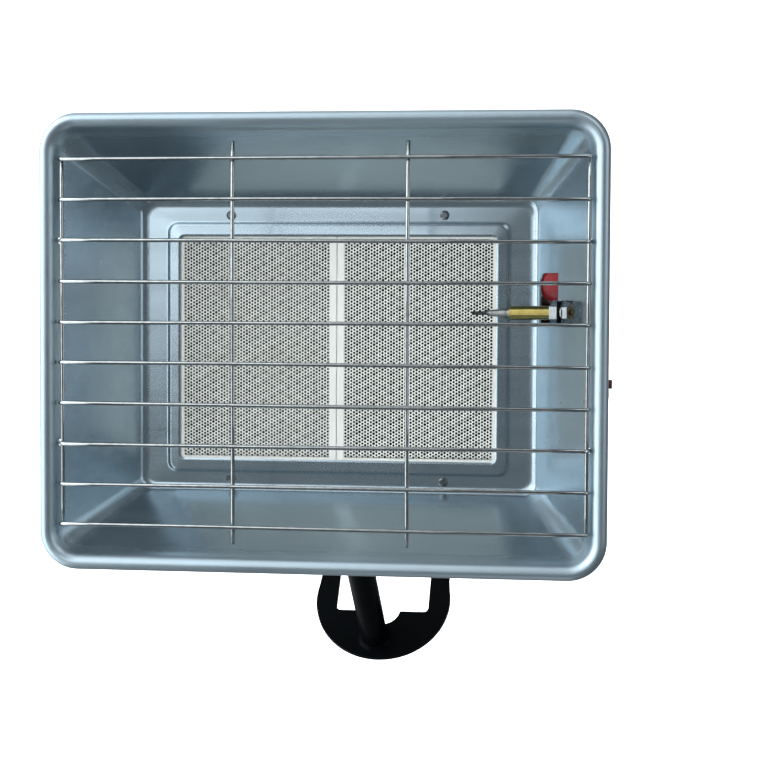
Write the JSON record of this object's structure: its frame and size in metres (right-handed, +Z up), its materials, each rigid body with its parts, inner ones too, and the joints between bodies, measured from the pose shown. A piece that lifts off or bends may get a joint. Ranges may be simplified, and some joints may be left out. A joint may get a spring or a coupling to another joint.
{
  "type": "portable gas radiant heater",
  "caption": "Radiant gas heater: tilting rectangular reflector with wire guard, ceramic plaques and probe, on a post with a forked foot that hooks round a gas bottle neck.",
  "frame": {"origin": "axis of the post at the underside of the fork plate", "axes": "+Z up along the post, -Y the way the reflector faces, +X to the right seen from the front, arms of the fork open towards +Y"},
  "size_m": [0.3107, 0.242, 0.3657],
  "materials": {
    "sheet_steel": "dull galvanised sheet with fine drawing lines",
    "chrome_wire": "bright",
    "ceramic_plaque": "matt, off-white",
    "fibre": "matt felted fibre",
    "box_steel": "dull galvanised sheet",
    "zinc": "bright zinc plate",
    "cast_aluminium": "rough cast",
    "brass": "turned, satin",
    "copper": "drawn copper tube, slightly dull",
    "black_plastic": "fine grain",
    "red_plastic": "moulded, glossy",
    "probe_steel": "heat-dulled steel",
    "black_paint": "glossy black",
    "black_sheath": "matt sheath",
    "brown_rubber": "matt"
  },
  "bodies": {
    "foot": {"post_head": "black_paint", "pivot_bolt": "zinc", "pivot_washers": "zinc", "post_tube": "black_paint", "weld_collar": "black_paint", "fork_plate": "black_paint", "clamp_nut": "zinc"},
    "head": {"reflector": "sheet_steel", "wire_guard": "chrome_wire", "plaque_left": "ceramic_plaque", "plaque_right": "ceramic_plaque", "plaque_gasket": "fibre", "burner_box": "box_steel", "baffle_plate": "box_steel", "box_screws": "zinc", "venturi": "cast_aluminium", "injector_holder": "brass", "injector": "brass", "supply_pipe": "copper", "flare_nuts": "brass", "valve_body": "brass", "valve_bracket": "box_steel", "bracket_screws": "zinc", "inlet_nipple": "brass", "magnet_unit": "zinc", "thermocouple_tip": "probe_steel", "thermocouple_sleeve": "brass", "thermocouple_nuts": "zinc", "thermocouple_bracket": "black_paint", "thermocouple_lead": "copper", "tip_switch_housing": "red_plastic", "tip_switch_lid": "red_plastic", "switch_screws": "zinc", "switch_lead": "black_sheath", "switch_gland": "brown_rubber", "tilt_bracket": "black_paint"},
    "wing_nut": {"wing_nut": "zinc"},
    "clamp_pad": {"clamp_pad": "zinc"},
    "clamp_screw": {"clamp_screw": "zinc"},
    "gas_knob": {"gas_knob": "black_plastic"},
    "safety_button": {"safety_button": "red_plastic"},
    "tip_pendulum": {"tip_pendulum": "brass"}
  },
  "joints": [
    {"name": "head_tilt", "type": "hinge", "parent": "foot", "child": "head", "pos_m": [0, 0, 0.148], "axis": [1, 0, 0], "range_deg": [-20, 50]},
    {"name": "wing_nut_turn", "type": "hinge", "parent": "foot", "child": "wing_nut", "pos_m": [0.022, 0, 0.148], "axis": [1, 0, 0], "range_deg": [0, 720]},
    {"name": "clamp_slide", "type": "slide", "parent": "foot", "child": "clamp_pad", "axis": [-1, 0, 0], "range_m": [-0.005, 0.005]},
    {"name": "clamp_turn", "type": "hinge", "parent": "clamp_pad", "child": "clamp_screw", "pos_m": [0.04, 0.069, 0.016], "axis": [-1, 0, 0], "range_deg": [-1440, 1440]},
    {"name": "gas_knob_turn", "type": "hinge", "parent": "head", "child": "gas_knob", "pos_m": [0.058, 0.13385, 0.1705], "axis": [0, 0.6428, -0.766], "range_deg": [0, 210]},
    {"name": "safety_button_press", "type": "slide", "parent": "head", "child": "safety_button", "axis": [0, -0.6428, 0.766], "range_m": [0, 0.004], "stiffness_N_per_m": 400, "springref_m": -0.004},
    {"name": "tip_weight_swing", "type": "hinge", "parent": "head", "child": "tip_pendulum", "pos_m": [0.1266, 0.069, 0.26334], "axis": [1, 0, 0], "range_deg": [-12, 12]}
  ],
  "couplings": [
    {"joint": "clamp_turn", "follows": "clamp_slide", "rad_per_m": 5026.5}
  ]
}
